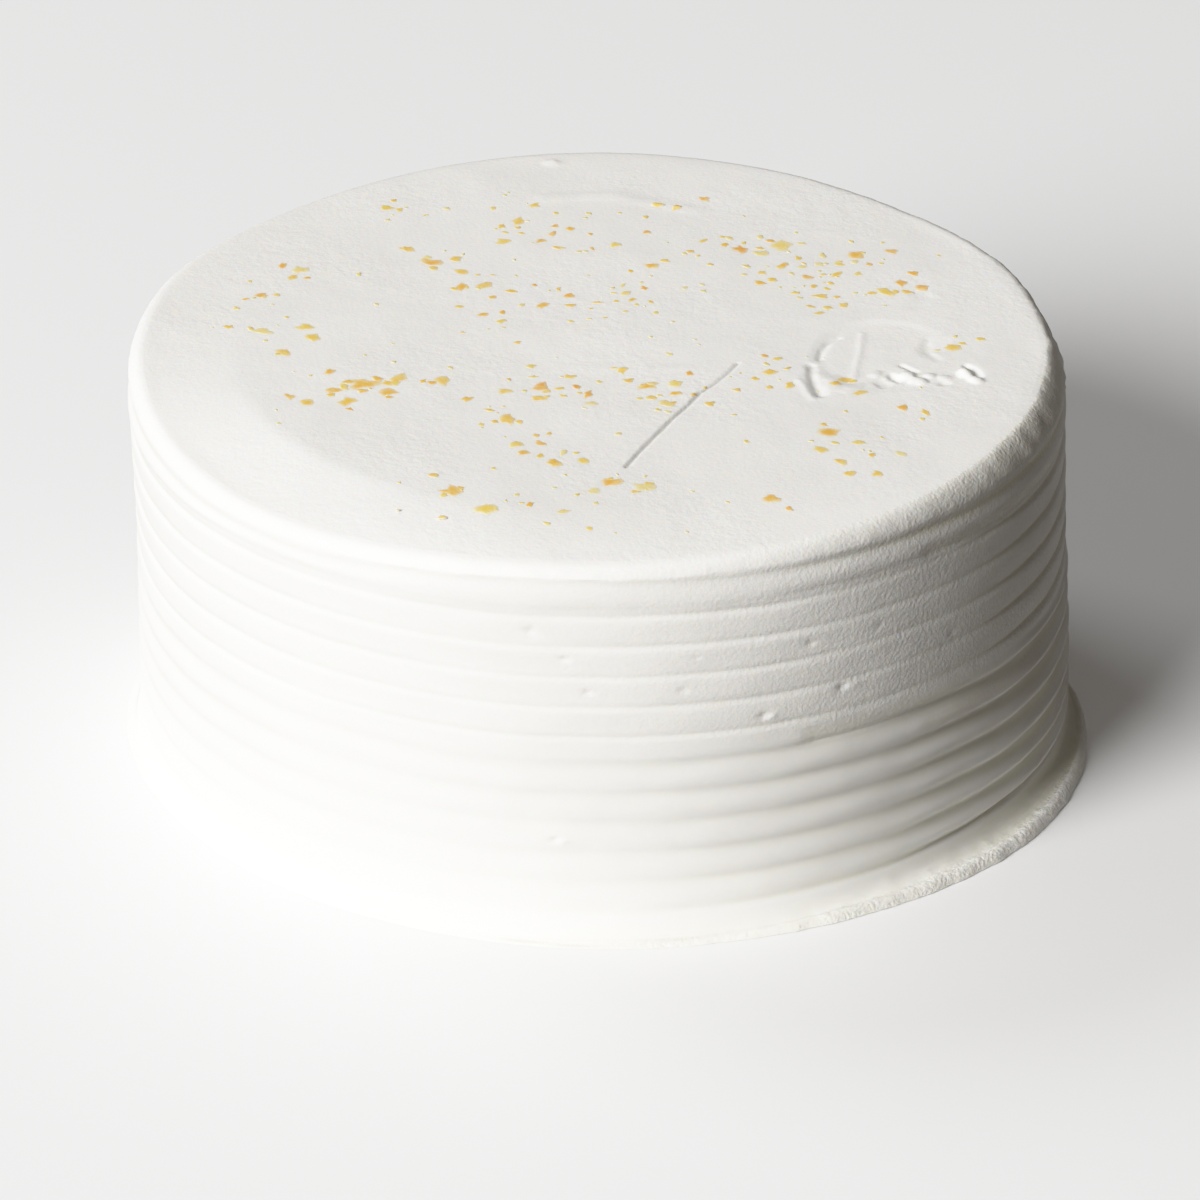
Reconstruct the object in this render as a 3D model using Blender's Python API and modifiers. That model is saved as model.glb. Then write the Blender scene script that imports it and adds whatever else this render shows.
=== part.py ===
"""A round iced cake, uncut, as one solid.

Its side is combed into rings, its foot spreads unevenly, and its flat top carries
a scratch, a gouge with lumps of icing round it, and scattered flakes.

Angles are in degrees round the cake: 0 is the front (-Y) and 90 is the right (+X).
"""

import math
import random

import bmesh
import bpy
from mathutils import Euler, Matrix, Vector

# Driving sizes, in metres
TOP_RADIUS = 0.1015
HEIGHT = 0.0900
SIDE_FLARE = 0.0008
EDGE_ROUNDING = 0.0034

# Rings: depths below the top
FIRST_GROOVE = 0.0052
FIRST_BAND = 0.0082
PITCH = 0.00693
GROOVES = 12
V_GROOVES = 6
FIRST_DEPTH = 0.0008
V_DEPTH = 0.0005
V_HALF_WIDTH = 0.0009
STEP_DEPTH = 0.0007
STEP_LIP = 0.0003
BAND_BULGE = 0.0003

# Foot: how far it reaches past the side, and hills on that reach (angle, half width, height)
FOOT_REACH = 0.0012
FOOT_HILLS = ((62, 62, 0.0076), (4, 36, 0.0020), (-88, 42, 0.0014), (170, 60, 0.0010))
# Height and share of the reach down the foot, from the lowest groove to the edge: with a raised
# ridge on the right, and thinning to nothing elsewhere
RIDGE_FOOT = (
    (0.0062, 0.00),
    (0.0046, 0.07),
    (0.0031, 0.22),
    (0.0021, 0.48),
    (0.0024, 0.72),
    (0.0020, 0.90),
    (0.0004, 1.00),
)
FEATHER_FOOT = (
    (0.0062, 0.02),
    (0.0043, 0.10),
    (0.0026, 0.27),
    (0.0016, 0.46),
    (0.0010, 0.66),
    (0.0007, 0.84),
    (0.0004, 1.00),
)
FOOT_TOP = 0.0062
RIDGED_PART = (58, 80)

# Unevenness: hills on the outline, the lean of the top and the sag of the rings
OUTLINE_HILLS = (
    (180, 34, 0.0016),
    (134, 24, -0.0016),
    (-134, 26, -0.0014),
    (102, 14, -0.0007),
    (-112, 16, 0.0005),
    (48, 30, -0.0004),
    (-40, 34, 0.0004),
)
TOP_LEAN = 0.0012
# The body leans to the right as it goes down, and flares there at its foot
LEAN = 0.0009
RIGHT_FLARE = (95, 70, 0.0009)
# The rim dips on the left, droops at the front, and is cut back and more round on the right
LEFT_DIP = (-52, 48, 0.0018)
FRONT_DROP = (-8, 85, 0.0015)
CHAMFER = (76, 50, 0.0009)
WIDE_ROUNDING = (76, 56, 0.0014)
RING_SAG = 0.0030
SAG_ANGLE = 95
SAG_HALF_WIDTH = 95
STEPS = 56

# Lumps of icing on the top (x, y, width, depth across, height), and hollows beside them
LUMPS = (
    (0.0510, -0.0225, 0.0090, 0.0070, 0.0008),
    (0.0655, -0.0195, 0.0110, 0.0080, 0.0010),
    (0.0735, -0.0185, 0.0050, 0.0050, 0.0007),
    (0.0790, -0.0165, 0.0070, 0.0080, 0.0013),
    (0.0425, -0.0265, 0.0050, 0.0080, 0.0006),
    (-0.0102, 0.0935, 0.0035, 0.0030, 0.0008),
)
HOLLOWS = (
    (0.0462, -0.0190, 0.0050, 0.0130, 0.0008),
    (0.0490, -0.0080, 0.0060, 0.0120, 0.0005),
    (0.0595, -0.0190, 0.0080, 0.0080, 0.0008),
    (0.0560, 0.0010, 0.0130, 0.0050, 0.0004),
)
SCRATCHES = (
    ((0.0064, -0.0600), (0.0205, -0.0315)),
    ((0.0232, -0.0245), (0.0290, -0.0130)),
)
SCRATCH_WIDTH = 0.0016
SCRATCH_DEPTH = 0.0005

# Patches of flakes (x, y, spread, number, longest)
FLAKE_PATCHES = (
    (-0.050, -0.020, 0.0035, 7, 0.0070),
    (-0.062, -0.029, 0.0050, 2, 0.0038),
    (-0.033, -0.018, 0.0050, 2, 0.0046),
    (-0.080, -0.041, 0.0040, 1, 0.0044),
    (-0.073, 0.006, 0.0060, 5, 0.0048),
    (-0.074, 0.024, 0.0040, 4, 0.0032),
    (-0.066, 0.037, 0.0060, 4, 0.0038),
    (-0.048, 0.070, 0.0060, 5, 0.0034),
    (-0.037, 0.041, 0.0050, 3, 0.0052),
    (-0.030, 0.028, 0.0050, 3, 0.0044),
    (-0.021, 0.052, 0.0050, 4, 0.0038),
    (-0.018, 0.063, 0.0050, 5, 0.0038),
    (-0.010, 0.056, 0.0040, 4, 0.0032),
    (0.004, 0.050, 0.0050, 3, 0.0034),
    (0.012, 0.039, 0.0060, 4, 0.0032),
    (0.018, 0.070, 0.0060, 4, 0.0038),
    (0.032, 0.048, 0.0050, 10, 0.0042),
    (0.041, 0.050, 0.0025, 3, 0.0048),
    (0.041, 0.039, 0.0035, 5, 0.0038),
    (0.058, 0.045, 0.0040, 6, 0.0040),
    (0.053, 0.035, 0.0040, 6, 0.0036),
    (0.049, 0.024, 0.0040, 8, 0.0038),
    (0.0635, 0.026, 0.0030, 3, 0.0052),
    (0.067, 0.030, 0.0030, 3, 0.0050),
    (0.006, 0.025, 0.0040, 7, 0.0030),
    (0.004, 0.014, 0.0040, 5, 0.0028),
    (-0.012, 0.019, 0.0050, 3, 0.0036),
    (-0.019, 0.026, 0.0040, 4, 0.0032),
    (-0.021, 0.011, 0.0050, 6, 0.0028),
    (-0.019, -0.037, 0.0050, 3, 0.0048),
    (-0.012, -0.021, 0.0035, 7, 0.0046),
    (-0.002, -0.025, 0.0035, 5, 0.0036),
    (0.011, -0.021, 0.0030, 4, 0.0050),
    (0.017, -0.026, 0.0050, 8, 0.0038),
    (-0.012, -0.048, 0.0040, 4, 0.0036),
    (-0.009, -0.057, 0.0035, 4, 0.0036),
    (0.003, -0.066, 0.0030, 2, 0.0042),
    (0.010, -0.068, 0.0030, 1, 0.0052),
    (-0.007, -0.079, 0.0050, 6, 0.0030),
    (-0.030, -0.070, 0.0040, 2, 0.0050),
    (-0.026, -0.079, 0.0060, 3, 0.0040),
    (0.037, -0.014, 0.0050, 8, 0.0034),
    (0.065, -0.031, 0.0040, 2, 0.0036),
    (0.077, -0.002, 0.0040, 2, 0.0044),
    (0.049, -0.043, 0.0050, 3, 0.0050),
    (0.054, -0.056, 0.0060, 4, 0.0042),
    (0.065, -0.058, 0.0060, 3, 0.0040),
    (0.036, -0.073, 0.0040, 2, 0.0036),
)
FLAKE_SIDES = 6
FLAKE_THICKNESS = 0.0008
FLAKE_SUNK = 0.0004
SHORTEST_FLAKE = 0.0027
FLAKE_GAP = 0.0006
FLAKE_LIMIT = 0.0900
SEED = 7

ICING = (0.86, 0.85, 0.81, 1.0)


def hill(angle, centre, half_width):
    """1 at the centre, falling smoothly to 0 a half width away on either side."""
    gap = (angle - centre + 180) % 360 - 180
    if abs(gap) >= half_width:
        return 0.0
    return 0.5 + 0.5 * math.cos(math.pi * gap / half_width)


def hills(angle, listed):
    return sum(height * hill(angle, centre, half_width) for centre, half_width, height in listed)


def smooth_step(low, high, value):
    share = min(1.0, max(0.0, (value - low) / (high - low)))
    return share * share * (3 - 2 * share)


def groove_depth(index):
    """Depth of a groove's line below the top."""
    if index == 0:
        return FIRST_GROOVE
    return FIRST_GROOVE + FIRST_BAND + (index - 1) * PITCH


def side_radius(depth):
    return TOP_RADIUS + SIDE_FLARE * depth / HEIGHT


def side_profile():
    """(radius, height) down the outer side, from the axis over the top edge to the lowest groove."""
    points = [(0.0, HEIGHT), (0.040, HEIGHT), (0.072, HEIGHT), (0.091, HEIGHT)]
    for quarter in (0, 30, 60, 90):
        turn = math.radians(quarter)
        points.append((
            TOP_RADIUS - EDGE_ROUNDING * (1 - math.sin(turn)),
            HEIGHT - EDGE_ROUNDING * (1 - math.cos(turn)),
        ))
    for index in range(GROOVES):
        depth = groove_depth(index)
        radius = side_radius(depth)
        if index < V_GROOVES:
            above, below = V_HALF_WIDTH, V_HALF_WIDTH
            inset, lip = (V_DEPTH if index else FIRST_DEPTH), 0.0
        else:
            above, below = 0.5 * V_HALF_WIDTH, 2.4 * V_HALF_WIDTH
            inset, lip = STEP_DEPTH, STEP_LIP
        points.append((radius + lip, HEIGHT - depth + above))
        points.append((radius - inset, HEIGHT - depth))
        points.append((radius - 0.1 * inset, HEIGHT - depth - below))
        if index == 0:
            points.append((radius + BAND_BULGE, HEIGHT - depth - 0.55 * FIRST_BAND))
    return points


def full_profile():
    """The whole half section. The foot's rows start evenly spaced, straight below the side."""
    rows = len(RIDGE_FOOT)
    foot_radius = side_radius(HEIGHT)
    foot = [(foot_radius, FOOT_TOP * (1 - row / rows)) for row in range(rows)]
    return side_profile() + foot + [(foot_radius, 0.0), (0.0, 0.0)]


def foot_place(angle, height):
    """(height, share of the reach) of a foot's point that starts at a height in full_profile."""
    if height <= 0:
        return 0.0, 0.97
    row = round(len(RIDGE_FOOT) * (1 - height / FOOT_TOP))
    ridged = smooth_step(0.25, 0.75, hill(angle, *RIDGED_PART))
    ridge, feather = RIDGE_FOOT[row], FEATHER_FOOT[row]
    return tuple(ridged * ridge[axis] + (1 - ridged) * feather[axis] for axis in range(2))


def front_drop(angle, radius):
    return hills(angle, (FRONT_DROP,)) * min(1.0, max(0.0, (radius - 0.070) / 0.030)) ** 2


def uneven(point):
    """A point of the true turned shape, moved to where the real icing is."""
    radius = math.hypot(point.x, point.y)
    if radius < 1e-6:
        return point.copy()
    angle = math.degrees(math.atan2(point.x, -point.y))
    height = point.z
    flat_edge = TOP_RADIUS - EDGE_ROUNDING
    wide = radius + min(1.0, max(0.0, (radius - 0.06) / 0.03)) * hills(angle, OUTLINE_HILLS)
    if height > HEIGHT - EDGE_ROUNDING - 1e-7:
        turned = min(1.0, max(0.0, (radius - flat_edge) / EDGE_ROUNDING))
        inward = smooth_step(0.086, flat_edge, radius) * (1 - turned)
        wide -= hills(angle, (WIDE_ROUNDING,)) * inward
        wide -= hills(angle, (CHAMFER,)) * math.sin(2 * math.asin(turned))
    if radius > TOP_RADIUS:
        wide += hills(angle, (RIGHT_FLARE,)) * smooth_step(0.045, 0.020, height)
    if height < FOOT_TOP + 1e-7:
        reach = FOOT_REACH + hills(angle, FOOT_HILLS) - hills(angle, (RIGHT_FLARE,))
        reach -= LEAN * math.sin(math.radians(angle))
        height, share = foot_place(angle, height)
        wide += reach * share
    moved = Vector((point.x * wide / radius, point.y * wide / radius, height))
    moved.x += LEAN * smooth_step(0.086, 0.045, point.z)
    upper = min(1.0, max(0.0, (point.z - 0.078) / 0.008))
    moved.z += TOP_LEAN * upper * moved.y / TOP_RADIUS
    middle = min(1.0, (HEIGHT - point.z) / 0.004, max(0.0, (point.z - FOOT_TOP) / 0.012))
    moved.z -= RING_SAG * middle * hill(angle, SAG_ANGLE, SAG_HALF_WIDTH)
    dip = smooth_step(0.0895, 0.1005, radius) * smooth_step(0.0775, 0.0845, point.z)
    moved.z -= hills(angle, (LEFT_DIP,)) * dip
    moved.z -= front_drop(angle, radius) * smooth_step(0.0850, 0.0880, point.z)
    return moved


def top_height(x, y):
    angle = math.degrees(math.atan2(x, -y))
    return HEIGHT + TOP_LEAN * y / TOP_RADIUS - front_drop(angle, math.hypot(x, y))


def collection(name):
    made = bpy.data.collections.new(name)
    bpy.context.scene.collection.children.link(made)
    return made


def link_mesh(name, shape, home):
    mesh = bpy.data.meshes.new(name)
    shape.to_mesh(mesh)
    shape.free()
    made = bpy.data.objects.new(name, mesh)
    home.objects.link(made)
    return made


def cake_body(home):
    """The turned body: its half section on a Screw modifier, then made uneven."""
    section = bmesh.new()
    corners = [section.verts.new((radius, 0, height)) for radius, height in full_profile()]
    for start, end in zip(corners, corners[1:]):
        section.edges.new((start, end))
    turned = link_mesh("cake", section, home)
    screw = turned.modifiers.new("Turn", "SCREW")
    screw.steps = STEPS
    screw.render_steps = STEPS
    screw.use_merge_vertices = True
    screw.merge_threshold = 0.0001
    graph = bpy.context.evaluated_depsgraph_get()
    mesh = bpy.data.meshes.new_from_object(turned.evaluated_get(graph))
    turned.modifiers.clear()
    turned.data = mesh
    for vertex in mesh.vertices:
        vertex.co = uneven(vertex.co)
    return turned


def mound(name, home, x, y, wide, deep, height, below):
    """A low ellipsoid on the top, as a lump or, turned over, as the cutter of a hollow."""
    shape = bmesh.new()
    bmesh.ops.create_uvsphere(shape, u_segments=10, v_segments=6, radius=1.0)
    size = Matrix.Diagonal((wide / 2, deep / 2, height + below, 1.0))
    place = Matrix.Translation((x, y, top_height(x, y) - below))
    shape.transform(place @ size)
    return link_mesh(name, shape, home)


def scratch(name, home, start, end):
    """A narrow double-ended wedge along a scratch, which cuts it as a V."""
    start, end = Vector(start), Vector(end)
    length = (end - start).length
    shape = bmesh.new()
    bmesh.ops.create_cube(shape, size=1.0)
    for vertex in shape.verts:
        if vertex.co.z < 0:
            vertex.co.y *= 0.25
            vertex.co.x *= 0.92
    size = Matrix.Diagonal((length, SCRATCH_WIDTH, 2 * SCRATCH_DEPTH, 1.0))
    heading = math.atan2(end.y - start.y, end.x - start.x)
    middle = (start + end) / 2
    place = Matrix.Translation((middle.x, middle.y, top_height(middle.x, middle.y)))
    shape.transform(place @ Matrix.Rotation(heading, 4, "Z") @ size)
    return link_mesh(name, shape, home)


def flake_spots():
    """(x, y, length, heading) of each flake, drawn patch by patch, kept apart and off the rim."""
    draw = random.Random(SEED)
    spots = []
    for x, y, spread, number, longest in FLAKE_PATCHES:
        for index in range(number):
            share = 0.0 if index == 0 else 1.0
            for _ in range(60):
                at_x = x + share * draw.gauss(0, spread)
                at_y = y + share * draw.gauss(0, spread)
                length = longest * (1.0 if index == 0 else draw.uniform(0.45, 0.85))
                heading = draw.uniform(-1.5, 1.5)
                room = math.hypot(at_x, at_y) + length < FLAKE_LIMIT
                clear = all(
                    math.hypot(at_x - other[0], at_y - other[1])
                    > 0.5 * (length + other[2]) + FLAKE_GAP
                    for other in spots
                )
                if room and clear and off_relief(at_x, at_y, length):
                    spots.append((at_x, at_y, length, heading))
                    break
    return spots


def off_relief(x, y, length):
    """Whether a flake lies clear of the lumps, hollows and scratches."""
    for at_x, at_y, wide, deep, _ in LUMPS + HOLLOWS:
        if math.hypot(x - at_x, y - at_y) < 0.5 * (length + max(wide, deep)) + FLAKE_GAP:
            return False
    for start, end in SCRATCHES:
        start, end = Vector(start), Vector(end)
        along = (Vector((x, y)) - start).dot(end - start) / (end - start).length_squared
        nearest = start.lerp(end, min(1.0, max(0.0, along)))
        if (Vector((x, y)) - nearest).length < 0.5 * (length + SCRATCH_WIDTH) + FLAKE_GAP:
            return False
    return True


def flake(name, home, spot, draw):
    """An irregular chip, narrower at its top, lying a little sunk in the icing."""
    x, y, length, heading = spot
    shape = bmesh.new()
    bmesh.ops.create_cone(
        shape, cap_ends=True, segments=FLAKE_SIDES, radius1=0.5, radius2=0.36, depth=1.0
    )
    for vertex in shape.verts:
        vertex.co.x *= draw.uniform(0.80, 1.0)
        vertex.co.y *= draw.uniform(0.72, 1.0)
    size = Matrix.Diagonal((length, length * draw.uniform(0.55, 0.85), FLAKE_THICKNESS, 1.0))
    tilt = Euler((draw.uniform(-0.05, 0.05), draw.uniform(-0.05, 0.05), heading)).to_matrix()
    lift = 0.5 * FLAKE_THICKNESS - FLAKE_SUNK
    place = Matrix.Translation((x, y, top_height(x, y) + lift))
    shape.transform(place @ tilt.to_4x4() @ size)
    return link_mesh(name, shape, home)


def apply_boolean(body, operation, pieces):
    """Joins or cuts a collection's pieces in one Boolean, and removes them."""
    boolean = body.modifiers.new(operation.title(), "BOOLEAN")
    boolean.operation = operation
    boolean.operand_type = "COLLECTION"
    boolean.collection = pieces
    boolean.solver = "EXACT"
    graph = bpy.context.evaluated_depsgraph_get()
    mesh = bpy.data.meshes.new_from_object(body.evaluated_get(graph))
    body.modifiers.clear()
    body.data = mesh
    for piece in list(pieces.objects):
        bpy.data.objects.remove(piece)
    bpy.data.collections.remove(pieces)


def centre_on_origin(body):
    """Stands the body on Z = 0 with its outline centred on the Z axis."""
    points = [vertex.co for vertex in body.data.vertices]
    low = [min(point[axis] for point in points) for axis in range(3)]
    high = [max(point[axis] for point in points) for axis in range(3)]
    shift = Vector((-(low[0] + high[0]) / 2, -(low[1] + high[1]) / 2, -low[2]))
    body.data.transform(Matrix.Translation(shift))


def icing_material():
    made = bpy.data.materials.new("icing")
    made.use_nodes = True
    shader = made.node_tree.nodes["Principled BSDF"]
    shader.inputs["Base Color"].default_value = ICING
    shader.inputs["Roughness"].default_value = 0.55
    shader.inputs["Metallic"].default_value = 0.0
    return made


def main():
    for left_over in list(bpy.data.objects):
        bpy.data.objects.remove(left_over)
    cake = collection("White cake")
    body = cake_body(cake)
    cuts = collection("Hollows")
    for index, (x, y, wide, deep, depth) in enumerate(HOLLOWS):
        mound(f"hollow_{index}", cuts, x, y, wide, deep, depth, 0.0)
    for index, (start, end) in enumerate(SCRATCHES):
        scratch(f"scratch_{index}", cuts, start, end)
    apply_boolean(body, "DIFFERENCE", cuts)
    toppings = collection("Toppings")
    for index, (x, y, wide, deep, height) in enumerate(LUMPS):
        mound(f"lump_{index}", toppings, x, y, wide, deep, height, 0.0006)
    draw = random.Random(SEED + 1)
    large = [spot for spot in flake_spots() if spot[2] >= SHORTEST_FLAKE]
    for index, spot in enumerate(large):
        flake(f"flake_{index}", toppings, spot, draw)
    apply_boolean(body, "UNION", toppings)
    centre_on_origin(body)
    body.data.materials.clear()
    body.data.materials.append(icing_material())
    body.data.shade_smooth()
    body.data.set_sharp_from_angle(angle=math.radians(32))


main()
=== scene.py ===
"""The looks of a round iced cake: combed white icing, a rough flat top and golden flakes.

The icing replaces the plain solid and keeps its form: the same rings, foot, outline, lumps,
hollows, scratches and flakes, worked out from the same named sizes, with finer relief.

Angles are in degrees round the cake: 0 is the front (-Y) and 90 is the right (+X).
"""

import math
import random

import bmesh
import bpy
import numpy as np
from mathutils import Matrix, Vector, noise


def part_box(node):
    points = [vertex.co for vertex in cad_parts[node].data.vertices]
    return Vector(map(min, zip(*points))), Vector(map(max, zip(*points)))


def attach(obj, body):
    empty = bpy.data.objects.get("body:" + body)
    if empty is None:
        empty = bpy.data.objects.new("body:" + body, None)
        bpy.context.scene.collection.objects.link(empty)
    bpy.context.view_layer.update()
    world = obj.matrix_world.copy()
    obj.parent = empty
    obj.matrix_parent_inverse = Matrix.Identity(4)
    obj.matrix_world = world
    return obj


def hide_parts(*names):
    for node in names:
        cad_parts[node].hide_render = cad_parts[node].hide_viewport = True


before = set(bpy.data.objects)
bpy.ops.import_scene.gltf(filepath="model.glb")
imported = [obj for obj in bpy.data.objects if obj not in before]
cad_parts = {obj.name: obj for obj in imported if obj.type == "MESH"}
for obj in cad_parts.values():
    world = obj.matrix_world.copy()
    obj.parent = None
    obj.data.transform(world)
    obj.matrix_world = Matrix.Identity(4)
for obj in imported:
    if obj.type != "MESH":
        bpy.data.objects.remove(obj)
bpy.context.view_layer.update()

MM = 0.001

# The cake's sizes, in metres and degrees. They are the solid's own, but for three: the foot's sections
# have more points here, the left side's dip is deeper and the scratch is shallower.
# A hill is (angle of its middle, half width, height).
TOP_RADIUS = 0.1015
HEIGHT = 0.0900
SIDE_FLARE = 0.0008
EDGE_ROUNDING = 0.0034
FIRST_GROOVE = 0.0052
FIRST_BAND = 0.0082
PITCH = 0.00693
GROOVES = 12
V_GROOVES = 6
FOOT_REACH = 0.0012
FOOT_HILLS = ((62, 62, 0.0076), (4, 36, 0.0020), (-88, 42, 0.0014), (170, 60, 0.0010))
FOOT_TOP = 0.0062
# The foot's two sections, as (height, share of its reach), from the side down to the floor
RIDGE_FOOT = (
    (0.0062, 0.00), (0.0054, 0.03), (0.0046, 0.07), (0.0038, 0.13), (0.0031, 0.22), (0.0025, 0.34),
    (0.0021, 0.48), (0.0020, 0.60), (0.0024, 0.69), (0.0025, 0.79), (0.0020, 0.90), (0.0010, 0.98),
    (0.0002, 1.0),
)
FEATHER_FOOT = (
    (0.0062, 0.02), (0.0052, 0.05), (0.0043, 0.10), (0.0034, 0.17), (0.0026, 0.27), (0.0020, 0.37),
    (0.0015, 0.47), (0.0011, 0.58), (0.0008, 0.69), (0.00055, 0.79), (0.00035, 0.88), (0.0002, 0.95),
    (0.00005, 1.0),
)
RIDGED_PART = (58, 80)
LEAN = 0.0009
RIGHT_FLARE = (95, 70, 0.0009)
LEFT_DIP = (-52, 48, 0.0026)
FRONT_DROP = (-8, 85, 0.0015)
# The left's dip and the front's drop start at these radii and grow over these widths
LEFT_DIP_START = (0.0795, 0.0185)
FRONT_DROP_START = (0.0770, 0.0215)
CHAMFER = (76, 50, 0.0009)
WIDE_ROUNDING = (76, 56, 0.0014)
OUTLINE_HILLS = (
    (180, 34, 0.0016),
    (134, 24, -0.0016),
    (-134, 26, -0.0014),
    (102, 14, -0.0007),
    (-112, 16, 0.0005),
    (48, 30, -0.0004),
    (-40, 34, 0.0004),
)
TOP_LEAN = 0.0012
RING_SAG = 0.0030
SAG_ANGLE = 95
SAG_HALF_WIDTH = 95
# The solid's lumps and hollows, which its flakes keep clear of: x, y, width and depth on the top
LUMPS = (
    (0.0510, -0.0225, 0.0090, 0.0070),
    (0.0655, -0.0195, 0.0110, 0.0080),
    (0.0735, -0.0185, 0.0050, 0.0050),
    (0.0790, -0.0165, 0.0070, 0.0080),
    (0.0425, -0.0265, 0.0050, 0.0080),
    (-0.0102, 0.0935, 0.0035, 0.0030),
)
HOLLOWS = (
    (0.0462, -0.0190, 0.0050, 0.0130),
    (0.0490, -0.0080, 0.0060, 0.0120),
    (0.0595, -0.0190, 0.0080, 0.0080),
    (0.0560, 0.0010, 0.0130, 0.0050),
)
SCRATCHES = (
    ((0.0064, -0.0600), (0.0205, -0.0315)),
    ((0.0232, -0.0245), (0.0290, -0.0130)),
)
SCRATCH_WIDTH = 0.0016
SCRATCH_DEPTH = 0.00035
# Patches of flakes: x, y, spread, number, length of the longest
FLAKE_PATCHES = (
    (-0.050, -0.020, 0.0035, 7, 0.0070),
    (-0.062, -0.029, 0.0050, 2, 0.0038),
    (-0.033, -0.018, 0.0050, 2, 0.0046),
    (-0.080, -0.041, 0.0040, 1, 0.0044),
    (-0.073, 0.006, 0.0060, 5, 0.0048),
    (-0.074, 0.024, 0.0040, 4, 0.0032),
    (-0.066, 0.037, 0.0060, 4, 0.0038),
    (-0.048, 0.070, 0.0060, 5, 0.0034),
    (-0.037, 0.041, 0.0050, 3, 0.0052),
    (-0.030, 0.028, 0.0050, 3, 0.0044),
    (-0.021, 0.052, 0.0050, 4, 0.0038),
    (-0.018, 0.063, 0.0050, 5, 0.0038),
    (-0.010, 0.056, 0.0040, 4, 0.0032),
    (0.004, 0.050, 0.0050, 3, 0.0034),
    (0.012, 0.039, 0.0060, 4, 0.0032),
    (0.018, 0.070, 0.0060, 4, 0.0038),
    (0.032, 0.048, 0.0050, 10, 0.0042),
    (0.041, 0.050, 0.0025, 3, 0.0048),
    (0.041, 0.039, 0.0035, 5, 0.0038),
    (0.058, 0.045, 0.0040, 6, 0.0040),
    (0.053, 0.035, 0.0040, 6, 0.0036),
    (0.049, 0.024, 0.0040, 8, 0.0038),
    (0.0635, 0.026, 0.0030, 3, 0.0052),
    (0.067, 0.030, 0.0030, 3, 0.0050),
    (0.006, 0.025, 0.0040, 7, 0.0030),
    (0.004, 0.014, 0.0040, 5, 0.0028),
    (-0.012, 0.019, 0.0050, 3, 0.0036),
    (-0.019, 0.026, 0.0040, 4, 0.0032),
    (-0.021, 0.011, 0.0050, 6, 0.0028),
    (-0.019, -0.037, 0.0050, 3, 0.0048),
    (-0.012, -0.021, 0.0035, 7, 0.0046),
    (-0.002, -0.025, 0.0035, 5, 0.0036),
    (0.011, -0.021, 0.0030, 4, 0.0050),
    (0.017, -0.026, 0.0050, 8, 0.0038),
    (-0.012, -0.048, 0.0040, 4, 0.0036),
    (-0.009, -0.057, 0.0035, 4, 0.0036),
    (0.003, -0.066, 0.0030, 2, 0.0042),
    (0.010, -0.068, 0.0030, 1, 0.0052),
    (-0.007, -0.079, 0.0050, 6, 0.0030),
    (-0.030, -0.070, 0.0040, 2, 0.0050),
    (-0.026, -0.079, 0.0060, 3, 0.0040),
    (0.037, -0.014, 0.0050, 8, 0.0034),
    (0.065, -0.031, 0.0040, 2, 0.0036),
    (0.077, -0.002, 0.0040, 2, 0.0044),
    (0.049, -0.043, 0.0050, 3, 0.0050),
    (0.054, -0.056, 0.0060, 4, 0.0042),
    (0.065, -0.058, 0.0060, 3, 0.0040),
    (0.036, -0.073, 0.0040, 2, 0.0036),
)
# Flakes on the gouge's lumps: x, y, length, heading, tint
GOUGE_FLAKES = (
    (0.0412, -0.0204, 0.0034, 1.2, 0.55),
    (0.0509, -0.0197, 0.0026, 0.4, 0.45),
    (0.0531, -0.0172, 0.0030, 0.9, 0.35),
    (0.0548, -0.0180, 0.0020, 0.2, 0.60),
    (0.0561, -0.0239, 0.0032, 0.6, 0.40),
)
FLAKE_GAP = 0.0006
FLAKE_LIMIT = 0.0900
SEED = 7
# A flake's heading is at most this many radians either way
MOST_TURN = 1.5
# Specks: how many for each flake of a patch, and their least and greatest length
SPECK_SHARE = 0.8
SPECK_LENGTHS = (0.0007, 0.0018)
# Scraps beside a long flake: one for each step of its length over the first, and their spread and
# size as shares of that length
LONG_FLAKE = 0.0036
SCRAP_STEP = 0.0007
SCRAP_SPREAD = 0.42
SCRAP_SIZE = 0.45
# The orange clump on the left of the top: its least and greatest x and y, and its palest tint
CLUMP = (-0.085, -0.025, -0.050, -0.010)
CLUMP_TINT = 0.45

# How finely the icing's mesh is divided: cells across the top's grid, which is a disc, and finer parts
TOP_GRID = 100
AROUND = 4 * TOP_GRID
DISC_RADIUS = 0.0900
FINE_CUTS = 3
GOUGE_PART = (0.0400, 0.0840, -0.0300, 0.0130)
NEAR_SCRATCH = 0.0020

# Unevenness of the icing, as (height, size of its lumps)
BROAD = (0.00022, 0.036)
MEDIUM = (0.00012, 0.014)
SMALL = (0.00004, 0.006)
TOP_MEDIUM = (0.00006, 0.0080)
TOP_JITTER = (0.40, 0.0030)
SCRATCH_WAVER = (0.35, 0.0050)
RING_WAVER = (0.00022, 0.024)
RIM_LUMP = 0.0042
FOOT_LUMP = 0.0070
FOOT_CHIP = 0.0034
FOOT_BUMP = 0.0028
# Roughness of the rim and of the foot's edge: least, and a hill that adds to it
RIM_ROUGH = (0.00014, (95, 70, 0.00042))
FOOT_ROUGH = (0.0002, (50, 60, 0.00028))
# Height of the bumps on the foot, as hills, and the height of the foot that they are set against
FOOT_LUMPY = ((40, 38, 0.00034), (62, 70, 0.00030))
FOOT_BUMP_RISE = 0.0022
CREASE_DROP = 0.35
# The first ring rises a little in front, above this height
FIRST_RING_RISE = (-4, 32, 0.0004)
FIRST_RING_FROM = (0.0800, 0.0850)

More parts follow.
